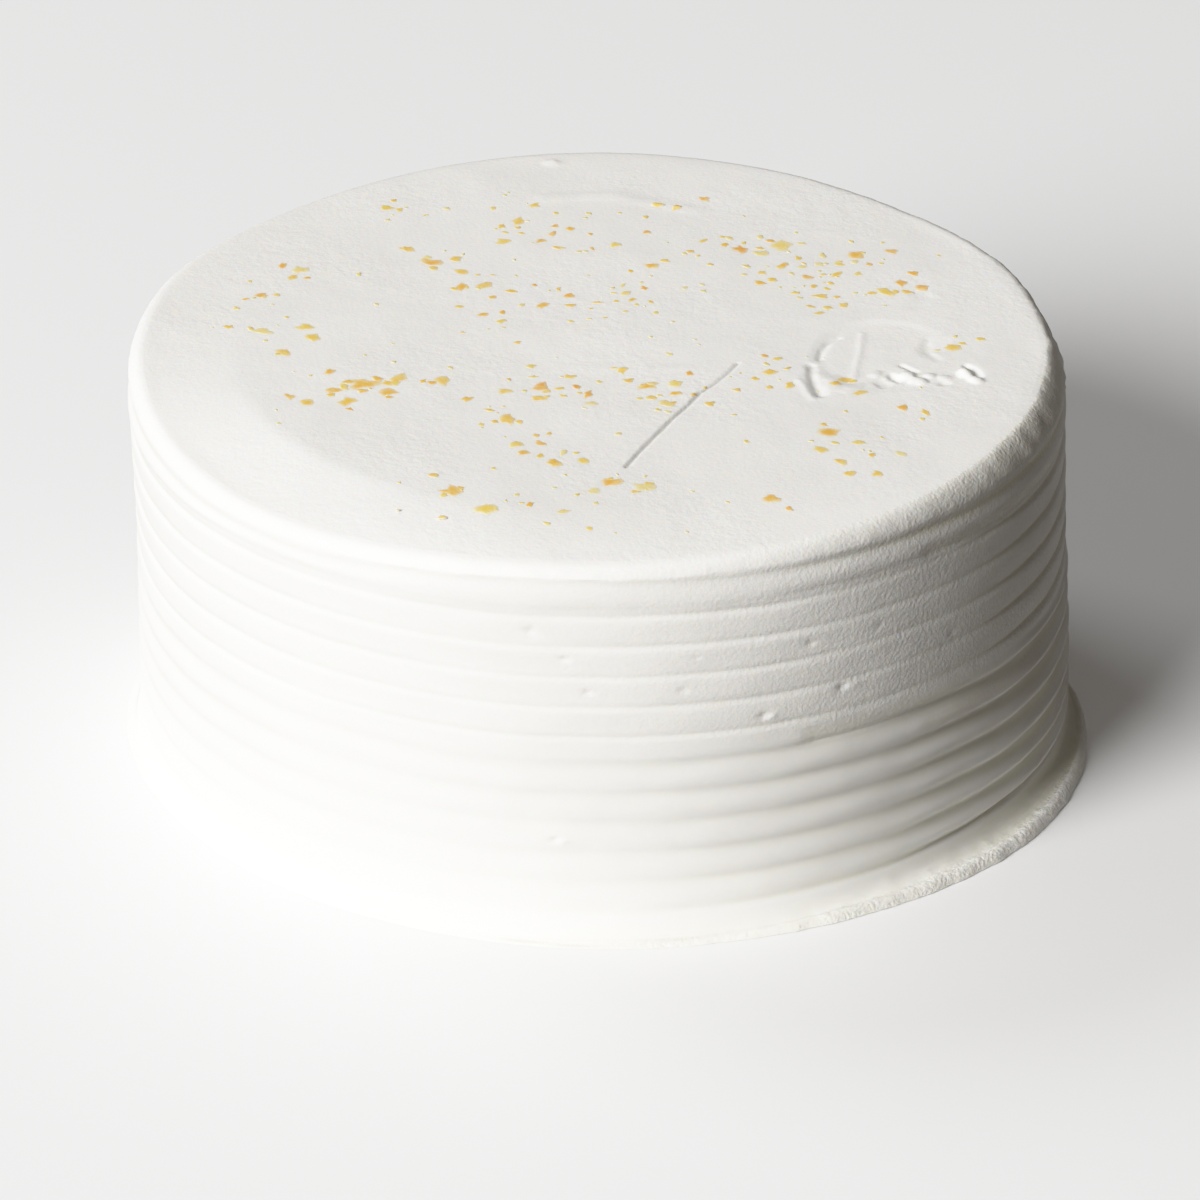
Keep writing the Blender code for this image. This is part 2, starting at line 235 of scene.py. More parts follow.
# Tool marks, pits and tears in the icing (angle, height, radius, depth; a bump has a negative depth)
PITS = (
    (-7.8, 0.0727, 0.0013, 0.0007),
    (-4.0, 0.0665, 0.0009, 0.0006),
    (-1.5, 0.0589, 0.0010, 0.0007),
    (11.3, 0.0661, 0.0007, 0.0004),
    (9.5, 0.0587, 0.0009, 0.0004),
    (19.2, 0.0509, 0.0012, 0.0009),
    (20.4, 0.0506, 0.0010, -0.0003),
    (29.4, 0.0537, 0.0012, 0.0010),
    (31.2, 0.0535, 0.0012, -0.0003),
    (25.4, 0.0656, 0.0010, 0.0005),
    (35.1, 0.0656, 0.0009, 0.0004),
    (46.5, 0.0573, 0.0009, 0.0005),
    (-5.4, 0.0242, 0.0010, 0.0007),
    (-4.2, 0.0240, 0.0010, -0.0003),
)
# Strips torn out of a band: groove above it, shares of the band and angles where each starts and ends
TEARS = (
    (5, 0.45, 0.98, 25, 52),
    (6, 0.30, 0.70, 42, 66),
    (0, 0.55, 0.92, 41, 84),
)
TEAR_DEPTH = 0.00025
TEAR_EDGE = (0.08, 1.0)
# A pit's width over its height, the unevenness of its edge, the share that it has of its listed
# depth, and the steepness of its side
PIT_STRETCH = 1.5
PIT_EDGE = (0.35, 0.0016)
PIT_SHARE = 0.42
PIT_STEEPNESS = 1.8
# Creases in the foot: angle, half width, share of the way down the foot, half of its share, strength
FOOT_CREASES = (
    (-92, 13, 0.42, 0.10, 0.8),
    (-26, 7, 0.62, 0.10, 0.8),
    (-9, 6, 0.66, 0.10, 0.9),
    (-3, 5, 0.76, 0.10, 0.8),
    (9, 7, 0.60, 0.10, 0.6),
)
# Raised or sunk lines on the top: points along each, its half width and its height
TOP_LINES = (
    (((0.0462, -0.0108), (0.0459, -0.0147), (0.0466, -0.0200), (0.0475, -0.0245)), 0.0010, -0.0005),
    (((0.0432, -0.0180), (0.0441, -0.0204), (0.0450, -0.0245), (0.0459, -0.0268)), 0.0008, 0.0002),
    (((0.0480, -0.0072), (0.0486, -0.0030), (0.0502, 0.0008), (0.0524, 0.0030)), 0.0007, -0.0003),
    (((0.0712, 0.0262), (0.0724, 0.0223), (0.0702, 0.0182)), 0.0006, -0.0003),
    (((0.0576, 0.0053), (0.0569, -0.0032), (0.0559, -0.0098), (0.0551, -0.0165)), 0.0008, 0.00015),
    (((0.0655, -0.0105), (0.0685, -0.0140)), 0.0005, -0.0004),
    (((0.0795, -0.0110), (0.0812, -0.0132), (0.0820, -0.0165)), 0.0006, -0.0006),
    (((0.0718, 0.0020), (0.0712, -0.0035), (0.0735, -0.0080)), 0.0010, -0.00015),
    (((-0.0124, 0.0745), (0.0020, 0.0760), (0.0216, 0.0690)), 0.0010, 0.0003),
    (((-0.0080, -0.0120), (0.0200, -0.0125)), 0.0008, 0.00015),
)
# Blobs and hollows of the gouge: middle, length, width, heading in degrees, height
BLOBS = (
    (0.0508, -0.0190, 0.0090, 0.0050, 82, 0.0002),
    (0.0545, -0.0215, 0.0070, 0.0040, 40, 0.0002),
    (0.0600, -0.0150, 0.0040, 0.0030, 60, 0.0003),
    (0.0668, -0.0160, 0.0060, 0.0042, -60, 0.0007),
    (0.0690, -0.0185, 0.0050, 0.0040, -40, 0.0006),
    (0.0712, -0.0160, 0.0034, 0.0030, 20, 0.0004),
    (0.0745, -0.0170, 0.0034, 0.0030, 0, 0.0003),
    (0.0790, -0.0150, 0.0056, 0.0036, -70, 0.0010),
    (0.0808, -0.0182, 0.0046, 0.0036, -40, 0.0007),
    (0.0612, -0.0190, 0.0046, 0.0056, 90, -0.0004),
    (0.0638, -0.0165, 0.0026, 0.0060, 20, -0.0006),
    (0.0742, -0.0196, 0.0030, 0.0026, 0, -0.0003),
    (0.0725, -0.0020, 0.0110, 0.0060, 60, -0.0002),
    (-0.0102, 0.0935, 0.0036, 0.0030, 0, 0.0007),
)
# The pressed patch beside the gouge: its middle, half length, half width, and depth at its left edge
PRESSED = (0.0620, -0.0060, 0.0155, 0.0175, 0.0003)
SCRATCH_LINES = (
    ((0.0061, -0.0585), (0.0090, -0.0515), (0.0158, -0.0368), (0.0195, -0.0295), (0.0222, -0.0235)),
    ((0.0226, -0.0232), (0.0252, -0.0196), (0.0282, -0.0145), (0.0303, -0.0099)),
)
SCRATCH_HALF_WIDTHS = (0.00065, 0.00045)


def hill(angle, centre, half_width):
    """1 at the centre, falling smoothly to 0 at half_width degrees on either side."""
    gap = (angle - centre + 180) % 360 - 180
    return np.where(np.abs(gap) < half_width, 0.5 + 0.5 * np.cos(np.pi * gap / half_width), 0.0)


def hills(angle, listed):
    return sum(height * hill(angle, centre, half_width) for centre, half_width, height in listed)


def smooth_step(low, high, value):
    share = np.clip((value - low) / (high - low), 0, 1)
    return share * share * (3 - 2 * share)


def perlin(x, y, z, size, octaves=1):
    """Smooth noise, about -1 to 1, whose lumps are about as large as size."""
    total = np.zeros(len(x))
    octave_shift = 17.3
    for octave in range(octaves):
        scale = 2.0**octave / size
        points = zip(x * scale, y * scale + octave_shift * octave, z * scale)
        total += np.fromiter((noise.noise(point) for point in points), float, len(x)) * 0.5**octave
    return total


def uneven(x, y, z, wave, octaves=1):
    height, size = wave
    return height * perlin(x, y, z, size, octaves)


def groove_depth(index):
    return FIRST_GROOVE if index == 0 else FIRST_GROOVE + FIRST_BAND + (index - 1) * PITCH


def side_radius(depth):
    return TOP_RADIUS + SIDE_FLARE * depth / HEIGHT


# Sections of the grooves, as (mm below the groove's line, mm out from the plain side)
FIRST_SECTION = (
    (-1.8, -0.02), (-1.2, -0.10), (-0.6, -0.22), (0.0, -0.32), (0.4, -0.35), (0.9, -0.29),
    (1.5, -0.14), (2.3, 0.07), (3.2, 0.21), (4.0, 0.29), (4.8, 0.31), (5.5, 0.26), (6.1, 0.17),
)
UPPER_SECTION = (
    (-1.6, 0.02), (-1.0, -0.01), (-0.5, -0.07), (-0.15, -0.15), (0.15, -0.24), (0.45, -0.27),
    (0.8, -0.19), (1.15, -0.06), (1.5, 0.05), (2.0, 0.11), (2.8, 0.12), (4.2, 0.08),
)
LOWER_SECTION = (
    (-2.9, 0.18), (-2.3, 0.15), (-1.8, 0.09), (-1.35, 0.02), (-0.95, -0.09), (-0.55, -0.20),
    (-0.2, -0.27), (0.2, -0.30), (0.6, -0.29), (1.0, -0.24), (1.5, -0.16), (2.1, -0.05),
    (2.8, 0.07), (3.4, 0.14),
)
LIP_SECTION = (
    (-3.3, -0.02), (-2.8, 0.07), (-2.3, 0.18), (-1.9, 0.25), (-1.5, 0.27), (-1.0, 0.20), (-0.6, 0.08),
    (-0.2, -0.08), (0.2, -0.22), (0.6, -0.31), (1.1, -0.33), (1.8, -0.28), (2.7, -0.17),
)
LIPPED_PART = (85, 52)
# The first groove on the front left, as (mm below the top, mm out from the plain side)
SOFT_FIRST = (
    (3.4, 0.0), (4.0, -0.01), (4.6, -0.04), (5.2, -0.07), (5.7, -0.08), (6.3, -0.04), (7.0, 0.05),
    (8.0, 0.17), (9.0, 0.24), (10.0, 0.24), (11.0, 0.19), (12.0, 0.11), (13.0, 0.03),
)
SOFT_PART = (-14, 62)
# The grooves are shallow on the front left: angle, half width, share lost at its middle
SHALLOW = (-15, 62, 0.65)
DEEPEST = 1.15
# The lower rings stand out more in front: angle, half width, share gained
BOLD_FRONT = (18, 36, 0.25)
# Depths between which the upper rings start, below the first, and fade into the lower ones
UPPER_START = (0.0115, 0.0135)
UPPER_END = (0.046, 0.042)
BOLD_START = (0.043, 0.047)
# Parts of the side whose rings are worn, clear or deep: angles where each fades in and where it
# fades out, and the share of the grooves' depth that it gains
WORN_PART = (18, 31, 60, 46, -0.62)
CLEAR_PART = (48, 62, 150, 120, 0.6)
DEEP_PART = (34, 47, 150, 110, 1.6)


def groove_section(lower):
    """(depth below the top, distance out from the plain side) down the side, as a fine polyline."""
    section = []
    for index in range(GROOVES):
        rows = lower
        if index < V_GROOVES:
            rows = UPPER_SECTION if index else FIRST_SECTION
        added = [(groove_depth(index) + down * MM, out * MM) for down, out in rows]
        section = [row for row in section if row[0] < added[0][0] - 0.0001] + added
    low = HEIGHT - FOOT_TOP
    section = [row for row in section if EDGE_ROUNDING <= row[0] < low - 0.0002]
    section.append((low, 0.0))
    return np.array(section)


SECTION = groove_section(LOWER_SECTION)
SECTION[0] = (EDGE_ROUNDING, 0.0)
LIPPED = groove_section(LIP_SECTION)
LIPPED[0] = (EDGE_ROUNDING, 0.0)


def gained(angle, part, rings):
    """What a part of the side multiplies the depth of the given rings by."""
    start, whole, end, still_whole, gain = part
    share = smooth_step(start, whole, angle) * smooth_step(end, still_whole, angle)
    return 1 + gain * share * rings


def groove_out(angle, depth):
    """How far the combed surface stands out from the plain side."""
    centre, half_width, lost = SHALLOW
    gain = DEEPEST * (1 - lost * hill(angle, centre, half_width))
    centre, half_width, more = BOLD_FRONT
    gain = gain * (1 + more * smooth_step(*BOLD_START, depth) * hill(angle, centre, half_width))
    upper = smooth_step(*UPPER_END, depth)
    upper_rings = upper * smooth_step(*UPPER_START, depth)
    gain = gain * gained(angle, WORN_PART, upper_rings) * gained(angle, CLEAR_PART, upper_rings)
    gain = gain * gained(angle, DEEP_PART, 1 - upper)
    out = np.interp(depth, SECTION[:, 0], SECTION[:, 1])
    lipped = np.interp(depth, LIPPED[:, 0], LIPPED[:, 1])
    lip = smooth_step(0.05, 0.75, hill(angle, *LIPPED_PART))
    out = gain * (out + lip * (lipped - out))
    soft = smooth_step(0.0130, 0.0110, depth) * hill(angle, *SOFT_PART)
    down, away = zip(*SOFT_FIRST)
    return out + soft * (np.interp(depth / MM, down, away) * MM - out)


def crease(angle, foot_share):
    """1 along the middle of a crease in the foot, falling to 0 at its edges."""
    share = 0 * angle
    for at, half_width, middle, deep, strength in FOOT_CREASES:
        near = hill(angle, at, half_width) * np.clip(1 - np.abs(foot_share - middle) / deep, 0, 1)
        share = np.maximum(share, strength * near)
    return share


def foot_place(angle, height):
    """(height, share of the foot's reach) of the foot's points, at first evenly spread in height."""
    step = np.clip(1 - height / FOOT_TOP, 0, 1) * (len(RIDGE_FOOT) - 1)
    ridged = smooth_step(0.25, 0.75, hill(angle, *RIDGED_PART))
    places = []
    for column in range(2):
        ridge = np.interp(step, range(len(RIDGE_FOOT)), [row[column] for row in RIDGE_FOOT])
        feather = np.interp(step, range(len(FEATHER_FOOT)), [row[column] for row in FEATHER_FOOT])
        places.append(ridged * ridge + (1 - ridged) * feather)
    return places


def grown(radius, start):
    """0 up to a radius, growing evenly to 1 over a width."""
    first, width = start
    return np.clip((radius - first) / width, 0, 1)


def front_drop(angle, radius):
    return hills(angle, (FRONT_DROP,)) * grown(radius, FRONT_DROP_START) ** 2


def top_height(x, y):
    angle = np.degrees(np.arctan2(x, -y))
    return HEIGHT + TOP_LEAN * y / TOP_RADIUS - front_drop(angle, np.hypot(x, y)) + top_relief(x, y)


def rows_down_the_side():
    """(radius, height) of each ring of the plain shape's points, from the disc to the underside."""
    flat_edge = TOP_RADIUS - EDGE_ROUNDING
    rows = [(radius, HEIGHT) for radius in np.linspace(DISC_RADIUS, flat_edge, 8)]
    for turn in np.linspace(0, math.pi / 2, 9)[1:]:
        rows.append((
            flat_edge + EDGE_ROUNDING * math.sin(turn),
            HEIGHT - EDGE_ROUNDING * (1 - math.cos(turn)),
        ))
    rows += [(side_radius(depth), HEIGHT - depth) for depth, _ in SECTION[1:-1]]
    steps = len(RIDGE_FOOT) - 1
    rows += [(side_radius(HEIGHT), FOOT_TOP * (1 - step / steps)) for step in range(steps)]
    rows += [(side_radius(HEIGHT), FOOT_TOP * 0.0001), (0.6 * TOP_RADIUS, 0.0)]
    return rows


def disc_points():
    """A square grid spread over a disc, so that its edge has equally spaced points."""
    share = np.linspace(-1, 1, TOP_GRID + 1)
    a, b = np.meshgrid(share, share, indexing="ij")
    wide = np.abs(a) >= np.abs(b)
    reach = np.where(wide, a, b)
    with np.errstate(divide="ignore", invalid="ignore"):
        turn = np.where(wide, np.pi / 4 * b / a, np.pi / 2 - np.pi / 4 * a / b)
    turn = np.where(reach == 0, 0.0, turn)
    return DISC_RADIUS * reach * np.cos(turn), DISC_RADIUS * reach * np.sin(turn)


def plain_body():
    """The smooth turned shape: a gridded disc, rings down the side and a flat underside."""
    shape = bmesh.new()
    x, y = disc_points()
    grid = [
        [shape.verts.new((x[i, j], y[i, j], HEIGHT)) for j in range(TOP_GRID + 1)]
        for i in range(TOP_GRID + 1)
    ]
    for i in range(TOP_GRID):
        for j in range(TOP_GRID):
            shape.faces.new((grid[i][j], grid[i + 1][j], grid[i + 1][j + 1], grid[i][j + 1]))
    turns = np.arange(AROUND) * 2 * math.pi / AROUND
    rings = []
    for radius, height in rows_down_the_side():
        rings.append([
            shape.verts.new((radius * math.cos(turn), radius * math.sin(turn), height))
            for turn in turns
        ])
    for upper, lower in zip(rings, rings[1:]):
        for k in range(AROUND):
            after = (k + 1) % AROUND
            shape.faces.new((upper[k], lower[k], lower[after], upper[after]))
    shape.faces.new(list(reversed(rings[-1])))
    bmesh.ops.remove_doubles(shape, verts=shape.verts, dist=1e-6)
    return shape


def refine(shape, wanted, cuts):
    """Divides the faces whose middles are wanted more finely."""
    edges = {edge for face in shape.faces if wanted(face.calc_center_median()) for edge in face.edges}
    bmesh.ops.subdivide_edges(shape, edges=list(edges), cuts=cuts, use_grid_fill=True)


def near_top_marks(point):
    """Whether a point of the top is near the gouge or a scratch."""
    if point.z < HEIGHT - 1e-6 or math.hypot(point.x, point.y) > DISC_RADIUS:
        return False
    least_x, most_x, least_y, most_y = GOUGE_PART
    if least_x < point.x < most_x and least_y < point.y < most_y:
        return True
    spot = np.array((point.x, point.y))
    return any(line_distance(spot[0:1], spot[1:2], line)[0] < NEAR_SCRATCH for line in SCRATCH_LINES)


def near_pit(point):
    if not FOOT_TOP < point.z < HEIGHT - EDGE_ROUNDING:
        return False
    angle = math.degrees(math.atan2(point.x, -point.y))
    return any(
        math.hypot(math.radians(angle - at) * TOP_RADIUS, point.z - height) < 2.2 * size
        for at, height, size, _ in PITS
    )


def line_distance(x, y, line):
    """Distance of each point from a line of straight stretches."""
    nearest = np.full(len(x), 1.0)
    for (x0, y0), (x1, y1) in zip(line, line[1:]):
        run = (x1 - x0, y1 - y0)
        along = np.clip(((x - x0) * run[0] + (y - y0) * run[1]) / (run[0] ** 2 + run[1] ** 2), 0, 1)
        nearest = np.minimum(nearest, np.hypot(x - x0 - along * run[0], y - y0 - along * run[1]))
    return nearest


def ellipse_reach(x, y, centre_x, centre_y, wide, deep):
    """0 at the middle of an ellipse and 1 on its edge."""
    return np.hypot((x - centre_x) * 2 / wide, (y - centre_y) * 2 / deep)


def blob(x, y, middle_x, middle_y, length, width, heading):
    """0 at the middle of a turned ellipse and 1 on its edge."""
    turn = math.radians(heading)
    along = (x - middle_x) * math.cos(turn) + (y - middle_y) * math.sin(turn)
    across = (y - middle_y) * math.cos(turn) - (x - middle_x) * math.sin(turn)
    return np.hypot(along * 2 / length, across * 2 / width)


def scratch_share(x, y):
    """1 along the middle of a scratch, falling to 0 at its edges."""
    share = np.zeros(len(x))
    for line, half_width in zip(SCRATCH_LINES, SCRATCH_HALF_WIDTHS):
        waver = 1 + uneven(x, y, 0 * x + 2, SCRATCH_WAVER, 2)
        share = np.maximum(share, 1.2 - line_distance(x, y, line) / (half_width * waver))
    return share.clip(0, 1)


def top_relief(x, y):
    """Height of the top's surface above the plain lean."""
    lift = uneven(x, y, 0 * x, BROAD, 2)
    lift += uneven(x, y, 0 * x + 4, TOP_MEDIUM, 2)
    centre_x, centre_y, wide, deep, depth = PRESSED
    inside = ellipse_reach(x, y, centre_x, centre_y, 2 * wide, 2 * deep)
    fade = smooth_step(0.016, -0.012, (x - centre_x) * 0.8 - (y - centre_y) * 0.3)
    lift -= depth * smooth_step(1.08, 0.86, inside) * fade
    jitter = uneven(x, y, 0 * x + 9, TOP_JITTER, 2)
    for middle_x, middle_y, length, width, heading, height in BLOBS:
        inside = blob(x, y, middle_x, middle_y, length, width, heading) * (1 + jitter)
        lift += height * np.clip(1 - inside**2, 0, 1) ** 1.1
    for line, half_width, height in TOP_LINES:
        lift += height * np.exp(-((line_distance(x, y, line) * (1 + jitter) / half_width) ** 2))
    return lift - SCRATCH_DEPTH * scratch_share(x, y)


def torn(angle, depth):
    """1 within a strip torn out of a band, with an uneven edge, and 0 elsewhere."""
    share = np.zeros(len(angle))
    for index, first, last, start, end in TEARS:
        band = FIRST_BAND if index == 0 else PITCH
        down = (depth - groove_depth(index)) / band
        edge = uneven(angle / 3, 0 * angle + index, 40 * depth, TEAR_EDGE, 2)
        inside = smooth_step(first - 0.08, first + 0.08, down + edge)
        inside *= smooth_step(last + 0.05, last - 0.05, down)
        inside *= smooth_step(start - 0.8, start + 0.8, angle + 20 * edge)
        inside *= smooth_step(end + 8, end - 8, angle)
        share = np.maximum(share, inside)
    return share


def side_relief(angle, x, y, z, depth):
    """Distance of the side's surface out from the plain side."""
    out = groove_out(angle, depth)
    out = out + uneven(x, y, z, BROAD)
    out += uneven(x, y, 4 * z, MEDIUM)
    out += uneven(x, y, z, SMALL)
    out -= TEAR_DEPTH * torn(angle, depth)
    for at, height, size, cut in PITS:
        away = np.hypot(np.radians(angle - at) * TOP_RADIUS / PIT_STRETCH, z - height) / size
        away = away * (1 + uneven(x, y, z, PIT_EDGE))
        out -= PIT_SHARE * cut * np.exp(-(away**2) * PIT_STEEPNESS)
    return out


def shape_points(points):
    """The plain body's points moved to where the real icing is."""
    x, y, z = points.T
    radius = np.hypot(x, y)
    angle = np.degrees(np.arctan2(x, -y))
    depth = HEIGHT - z
    rim = np.clip((radius - 0.06) / 0.03, 0, 1)
    foot = (z <= FOOT_TOP + 1e-7) & (radius > TOP_RADIUS)
    side = (radius > TOP_RADIUS - 1e-5) & (depth > EDGE_ROUNDING + 1e-6) & ~foot
    rounding = (depth > 1e-6) & (depth < EDGE_ROUNDING + 1e-6)
    top = depth < 1e-6

    # The outline isn't quite round, the side has its rings and the rim is rough
    flare = hills(angle, (RIGHT_FLARE,)) * smooth_step(0.045, 0.020, z)
    wide = radius + rim * hills(angle, OUTLINE_HILLS) + flare * (radius > TOP_RADIUS)
    out = np.zeros(len(x))
    out[side] = side_relief(angle[side], x[side], y[side], z[side], depth[side])
    out[rounding] = uneven(*points[rounding].T, BROAD)
    edge = rounding | (top & (radius > 0.094))
    least, rougher = RIM_ROUGH
    rough = least + hills(angle[edge], (rougher,))
    out[edge] += rough * perlin(x[edge], y[edge], z[edge], RIM_LUMP, 3)
    turn = np.arcsin(np.clip((radius - TOP_RADIUS + EDGE_ROUNDING) / EDGE_ROUNDING, 0, 1))
    out[rounding] -= (np.sin(2 * turn) * hills(angle, (CHAMFER,)))[rounding]
    inward = np.where(top, smooth_step(0.086, TOP_RADIUS - EDGE_ROUNDING, radius), 1 - np.sin(turn))
    wide -= hills(angle, (WIDE_ROUNDING,)) * inward * (top | rounding)
    wide += out * np.clip((radius - 0.094) / 0.004, 0, 1)

    # The foot spreads out from the side, with a broken edge and bumps
    new_z = z.copy()
    height, share = foot_place(angle[foot], z[foot])
    lean_out = LEAN * np.sin(np.radians(angle[foot]))
    reach = FOOT_REACH + hills(angle[foot], FOOT_HILLS) - flare[foot] - lean_out
    crumble = perlin(x[foot], y[foot], 0.4 * z[foot], FOOT_LUMP, 3)
    least, rougher = FOOT_ROUGH
    ragged = least + hills(angle[foot], (rougher,))
    chipped = perlin(x[foot], y[foot], 0.4 * z[foot] + 3, FOOT_CHIP, 2)
    wide[foot] += (reach + ragged * (0.6 * crumble + 0.7 * chipped)) * share
    bumps = perlin(x[foot] * (1 + share), y[foot] * (1 + share), 0 * share, FOOT_BUMP, 2)
    lumpy = hills(angle[foot], FOOT_LUMPY)
    new_z[foot] = height * (1 + lumpy * bumps * np.sin(np.pi * share) / FOOT_BUMP_RISE)
    new_z[foot] *= 1 - CREASE_DROP * crease(angle[foot], 1 - z[foot] / FOOT_TOP)

    # The whole leans to the right, and the top and the rings aren't quite level
    scale = np.where(radius > 1e-6, wide / np.maximum(radius, 1e-6), 1)
    new_x = x * scale + LEAN * smooth_step(0.086, 0.045, z)
    new_y = y * scale
    upper = np.clip((z - 0.078) / 0.008, 0, 1)
    lift = TOP_LEAN * upper * new_y / TOP_RADIUS
    middle = np.minimum.reduce([
        np.ones(len(x)), depth / 0.004, np.clip((z - FOOT_TOP) / 0.012, 0, None)
    ])
    lift -= RING_SAG * middle * hill(angle, SAG_ANGLE, SAG_HALF_WIDTH)
    waver = np.zeros(len(x))
    waver[side] = uneven(x[side], y[side], 0.35 * z[side], RING_WAVER, 2)
    lift += middle * waver
    lift += middle * smooth_step(*FIRST_RING_FROM, z) * hills(angle, (FIRST_RING_RISE,))
    dip = grown(radius, LEFT_DIP_START) * smooth_step(0.0775, 0.0845, z)
    lift -= hills(angle, (LEFT_DIP,)) * dip
    lift -= front_drop(angle, radius) * smooth_step(0.0850, 0.0880, z)
    lift[top] += top_relief(x[top], y[top]) * smooth_step(0.0985, 0.0950, radius[top])
    return np.column_stack((new_x, new_y, new_z + lift))


def mesh_object(name, mesh):
    made = bpy.data.objects.new(name, mesh)
    bpy.context.scene.collection.objects.link(made)
    return made


def own_shift(points):
    """How far the cake's own axis stands from the part's origin: both boxes have the same middle."""
    low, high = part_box("cake")
    middle = (points.min(0) + points.max(0)) / 2
    return Vector(((low.x + high.x) / 2 - middle[0], (low.y + high.y) / 2 - middle[1], 0))


# How the icing's surface varies round the cake, as hills of an amount from 0 to about 1: its grain, and
# its painted shade, darker and yellower, in the grooves, the rounding, the foot and the fillet
GRAINY_SIDE = (62, 70, 0.75)
GROOVE_SHADE = (80, 70, 0.7)
LESS_SHADED_GROOVES = (19, 16, 0.6)
ROUNDING_SHADE = (72, 58, 0.4)
FOOT_SHADE = (0, 75, 0.4)
FILLET_SHADE = (75, 50, 0.85)
RAGGED_FOOT = (55, 80, 0.9)
# The groove depth at which its painted shade is deepest
FULL_GROOVE = 0.0004
# How much of the fine grain is coarse too, on the top, on the side and elsewhere
COARSE_SHARES = (1.15, 0.22, 0.20)
# How strongly a torn strip is grainy and has yellow painted shade, and how strongly a crease has yellow
# and dark painted shade
TORN_GRAIN_AND_SHADE = (0.25, 0.5)
CREASE_SHADE = (1.2, 0.35)
GOUGE_SHADE = 0.45


def hollow_shade_share(angle, depth, foot_share, strip, creased):
    """How far the icing's colour goes to the darker yellow of painted shade in its grooves, torn
    strips, creases, fillet, foot and shaded rounding.
    """
    upper = smooth_step(*UPPER_END, depth)
    # Painted shade in the grooves, strongest on the shaded right
    share = (-groove_out(angle, depth) / FULL_GROOVE).clip(0, 1)
    share *= 0.3 + hills(angle, (GROOVE_SHADE,))
    share *= 1 + 0.5 * smooth_step(0.0095, 0.0075, depth)
    share *= 1 - upper * hills(angle, (LESS_SHADED_GROOVES,))
    share[depth < EDGE_ROUNDING] = 0
    rounded = (depth > 1e-6) & (depth < EDGE_ROUNDING)
    # Painted shade on the rounding, strongest on its shaded right
    share[rounded] = hills(angle[rounded], (ROUNDING_SHADE,))
    fillet = smooth_step(0.02, 0.12, foot_share) * smooth_step(0.72, 0.56, foot_share)
    others = (
        TORN_GRAIN_AND_SHADE[1] * strip,
        CREASE_SHADE[0] * creased,
        fillet * hills(angle, (FILLET_SHADE,)),
        smooth_step(0.1, 0.4, foot_share) * hills(angle, (FOOT_SHADE,)),
    )
    return np.maximum.reduce((share, *others))


def grey_and_shade_share(x, y, flat, creased):
    """How far the icing's colour goes to dark grey: along the scratches, and as painted shade in the
    gouge's pit and the creases.
    """
    # Painted shade in the creases; below, grey along the scratches and painted shadow in the gouge's
    # pit
    share = CREASE_SHADE[1] * creased
    pit, half_width, _ = TOP_LINES[0]
    away = line_distance(x[flat], y[flat], pit) / half_width
    marks = (scratch_share(x[flat], y[flat]), GOUGE_SHADE * np.exp(-(away**2)))
    share[flat] = np.maximum.reduce((share[flat], *marks))
    return share


def surface_values(plain):
    """How grainy and coarse the icing is at each of its points, and how much yellow painted shade and
    dark grey it has there.
    """
    x, y, z = plain.T
    angle = np.degrees(np.arctan2(x, -y))
    depth = HEIGHT - z
    foot_share = np.clip(1 - z / FOOT_TOP, 0, 1) * (np.hypot(x, y) > TOP_RADIUS)
    flat = depth < 1e-6
    side = (depth > EDGE_ROUNDING) & (z > FOOT_TOP)
    strip = np.zeros(len(depth))
    strip[side] = torn(angle[side], depth[side])
    creased = crease(angle, foot_share)
    upper = smooth_step(*UPPER_END, depth)
    grain = np.where(flat, 0.26, 0.15 + upper * (0.15 + hills(angle, (GRAINY_SIDE,))))
    grain += TORN_GRAIN_AND_SHADE[0] * strip
    on_top, on_side, elsewhere = COARSE_SHARES
    coarse = grain * np.where(flat, on_top, np.where(side, on_side, elsewhere))
    ragged = smooth_step(0.45, 0.60, foot_share) * (0.3 + hills(angle, (RAGGED_FOOT,)))
    return {
        "grain": grain + ragged,
        "coarse": coarse + ragged,
        # Yellow painted shade in hollows; dark grey along scratches with painted shade in the pit and
        # creases
        "hollow_painted_shade": hollow_shade_share(angle, depth, foot_share, strip, creased),
        "scratch_grey_and_shade": grey_and_shade_share(x, y, flat, creased),
    }


def add_values(mesh, listed):
    """Keeps a list of numbers, one for each point, in the mesh under each label."""
    for label, values in listed.items():
        attribute = mesh.attributes.new(label, "FLOAT", "POINT")
        attribute.data.foreach_set("value", np.array(values, np.float32))


def icing():
    """The iced cake, and how far its own axis stands from the part's origin."""
    shape = plain_body()
    refine(shape, near_top_marks, FINE_CUTS)
    refine(shape, near_pit, FINE_CUTS)
    mesh = bpy.data.meshes.new("icing")
    shape.to_mesh(mesh)
    shape.free()
    plain = np.empty(len(mesh.vertices) * 3)
    mesh.vertices.foreach_get("co", plain)
    plain = plain.reshape(-1, 3)
    points = shape_points(plain)
    shift = own_shift(points)
    points += np.array(shift)
    mesh.vertices.foreach_set("co", points.ravel())
    add_values(mesh, surface_values(plain))
    mesh.update()
    mesh.shade_smooth()
    mesh.set_sharp_from_angle(angle=math.radians(70))
    made = mesh_object("icing", mesh)
    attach(made, "root")
    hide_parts("cake")
    return made, shift


def off_relief(x, y, length):
    """Whether a flake lies clear of the lumps, hollows and scratches."""
    for at_x, at_y, wide, deep in LUMPS + HOLLOWS:
        if math.hypot(x - at_x, y - at_y) < 0.5 * (length + max(wide, deep)) + FLAKE_GAP:
            return False
    for start, end in SCRATCHES:
        start, end = Vector(start), Vector(end)
        along = (Vector((x, y)) - start).dot(end - start) / (end - start).length_squared
        nearest = start.lerp(end, min(1.0, max(0.0, along)))
        if (Vector((x, y)) - nearest).length < 0.5 * (length + SCRATCH_WIDTH) + FLAKE_GAP:
            return False
    return True


